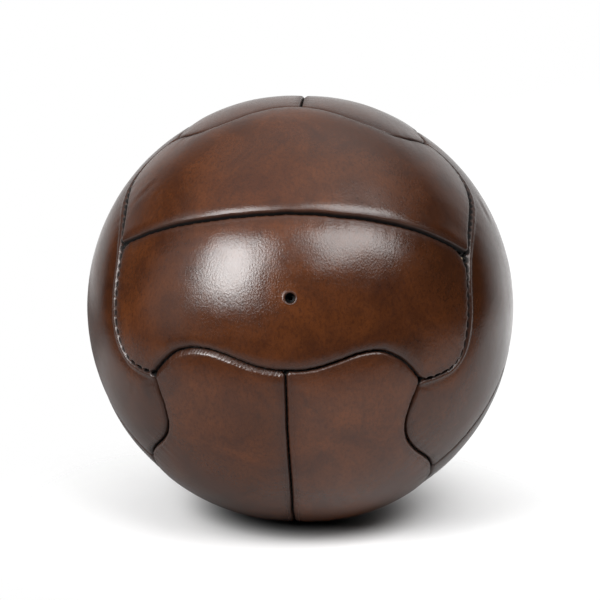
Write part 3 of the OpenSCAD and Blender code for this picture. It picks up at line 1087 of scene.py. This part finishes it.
def soft_box(name, azimuth, elevation, away, size, radiance):
    """A rectangular soft box that faces the ball, as bright as radiance says, with white as 1."""
    data = bpy.data.lights.new(name, "AREA")
    data.shape = "RECTANGLE"
    data.size, data.size_y = size
    data.energy = radiance * math.pi * size[0] * size[1]
    light = bpy.data.objects.new(name, data)
    towards = direction(azimuth, elevation)
    light.location = towards * away
    light.rotation_euler = (-towards).to_track_quat("-Z", "Y").to_euler()
    bpy.context.scene.collection.objects.link(light)


def axes_of(tree, where):
    """A place's or a direction's X, Y and Z."""
    split = add(tree, "ShaderNodeSeparateXYZ")
    tree.links.new(where, split.inputs[0])
    return split.outputs


def distance_from(tree, where, centre):
    """How far a place is from a centre on the table."""
    node = add(tree, "ShaderNodeVectorMath", operation="DISTANCE")
    node.inputs[1].default_value = (*centre, FLOOR_Z)
    tree.links.new(where, node.inputs[0])
    return node.outputs["Value"]


def table_colour(tree, axes, from_ball, seen, rear):
    """White to the camera but for a painted contact shadow; to the ball, with painted shade on the left,
    painted light behind on the right and the contact shadow.
    """
    # Painted shade on the table near the ball and behind it, on the left
    left = spread(tree, axes["X"], *LEFT_OF_BALL, 1, 0)
    near = spread(tree, from_ball, *SHADE_REACH, 1, 0)
    shade = maths(tree, "MULTIPLY", maths(tree, "MULTIPLY", near, left), FLOOR_SHADE)
    # Painted light on the table behind the ball, on the right
    white = maths(tree, "ADD", FLOOR_WHITE, maths(tree, "MULTIPLY", rear, FLOOR_REAR_LIGHT))
    white = maths(tree, "SUBTRACT", white, shade)
    dim = maths(tree, "MULTIPLY", spread(tree, axes["Y"], *DIM_BEHIND), left)
    white = maths(tree, "MULTIPLY", white, spread(tree, dim, 0, 1, 1, 1 - FLOOR_DIM))
    # Painted contact shadow round the resting face
    contact_shadow = spread(tree, from_ball, *CONTACT_SHADOW_REACH, CONTACT_SHADOW_DARK, 1, smooth=True)
    return maths(tree, "MULTIPLY", maths(tree, "MAXIMUM", white, seen), contact_shadow)


def table_fade(tree, where, from_ball, seen):
    """How clear the table is: far from its centre, and to the camera away from the ball's shadow."""
    from_centre = distance_from(tree, where, TABLE_CENTRE)
    out_of_shadow = spread(tree, from_ball, *SHADOW_SEEN, smooth=True)
    fade = spread(tree, from_centre, *TABLE_FADE, smooth=True)
    return maths(tree, "MAXIMUM", fade, maths(tree, "MULTIPLY", seen, out_of_shadow))


def table_material():
    """Pale board that fades out, with light spilled on it behind the ball, on the right."""
    material, tree, shader = new_material("white_table")
    where = add(tree, "ShaderNodeTexCoord").outputs["Object"]
    axes = axes_of(tree, where)
    from_ball = distance_from(tree, where, (0, 0))
    seen = add(tree, "ShaderNodeLightPath").outputs["Is Camera Ray"]
    rear = spread(tree, axes["Y"], *BEHIND_BALL)
    rear = maths(tree, "MULTIPLY", rear, spread(tree, axes["X"], *RIGHT_OF_BALL))
    tree.links.new(table_colour(tree, axes, from_ball, seen, rear), shader.inputs["Base Color"])
    # Painted light: the table glows behind the ball, on the right
    tree.links.new(maths(tree, "MULTIPLY", rear, FLOOR_GLOW), shader.inputs["Emission Strength"])
    shader.inputs["Emission Color"].default_value = (1, 1, 1, 1)
    shader.inputs["Roughness"].default_value = 0.9
    mix = add(tree, "ShaderNodeMixShader")
    clear = add(tree, "ShaderNodeBsdfTransparent")
    tree.links.new(table_fade(tree, where, from_ball, seen), mix.inputs[0])
    tree.links.new(shader.outputs[0], mix.inputs[1])
    tree.links.new(clear.outputs[0], mix.inputs[2])
    tree.links.new(mix.outputs[0], tree.nodes["Material Output"].inputs["Surface"])
    return material


def add_floor():
    """A pale table top that fades into the white surroundings."""
    mesh = bpy.data.meshes.new("floor")
    far, z = FLOOR_FAR, FLOOR_Z
    mesh.from_pydata([(-far, -far, z), (far, -far, z), (far, far, z), (-far, far, z)], [], [(0, 1, 2, 3)])
    floor = bpy.data.objects.new("floor", mesh)
    bpy.context.scene.collection.objects.link(floor)
    floor.data.materials.append(table_material())


def add_world():
    """A white backdrop behind and a white ceiling, with the dark of the room towards the camera."""
    world = bpy.data.worlds.new("studio")
    bpy.context.scene.world = world
    world.use_nodes = True
    tree = world.node_tree
    background = tree.nodes["Background"]
    background.inputs["Color"].default_value = (1, 1, 1, 1)
    where = add(tree, "ShaderNodeTexCoord").outputs["Generated"]
    axes = axes_of(tree, where)
    behind = spread(tree, axes["Y"], *SWEEP_BEHIND, smooth=True)
    sweep = maths(tree, "MULTIPLY", behind, spread(tree, axes["Z"], *SWEEP_UP, *SWEEP))
    sweep = maths(tree, "MULTIPLY", sweep, spread(tree, axes["X"], *SWEEP_ACROSS, *SWEEP_SIDES))
    overhead = spread(tree, axes["Z"], *CEILING_UP, smooth=True)
    ceiling = maths(tree, "MULTIPLY", overhead, spread(tree, axes["X"], *CEILING_ACROSS, *CEILING))
    light = maths(tree, "MAXIMUM", maths(tree, "MAXIMUM", sweep, ceiling), ROOM)
    seen = add(tree, "ShaderNodeLightPath").outputs["Is Camera Ray"]
    tree.links.new(maths(tree, "MAXIMUM", light, seen), background.inputs["Strength"])


def add_studio():
    add_camera()
    add_floor()
    add_world()
    soft_box("key", *KEY)
    soft_box("fill", *FILL)
    soft_box("wall", *WALL)
    bpy.context.scene.view_settings.view_transform = "Standard"


# ---- The ball ----

leather = leather_material()
for panel_name in PLACES:
    build_panel(panel_name, leather)

waxed = fibre_material("waxed_thread", THREAD, THREAD_DARK, 900)
for seam_name, seam_place in STRAIGHT.items():
    build_thread(seam_name, SIDE_CURVES["seam"], seam_place, waxed)
full_edge = left_edge(CORNER * ACROSS)
for seam_name, seam_place in CURVED.items():
    build_thread(seam_name, full_edge, seam_place, waxed)

felt = fibre_material("lining_felt", FELT, FELT_DARK, 300)
cotton = fibre_material("packed_cotton", COTTON, COTTON_DARK, 160)
for panel_name in PLACES:
    build_lining(panel_name, felt)
give(["wadding"], cotton)
thick_rubber = rubber_material("bladder_rubber", RUBBER, RUBBER_BLOOM)
valve_rubber = rubber_material("valve_rubber", VALVE_BLACK, VALVE_BLOOM)
give(["bladder", "valve_patch"], thick_rubber)
give(["valve_housing", "valve_insert"], valve_rubber)
give(["valve_hole_washer"], washer_material())

add_studio()
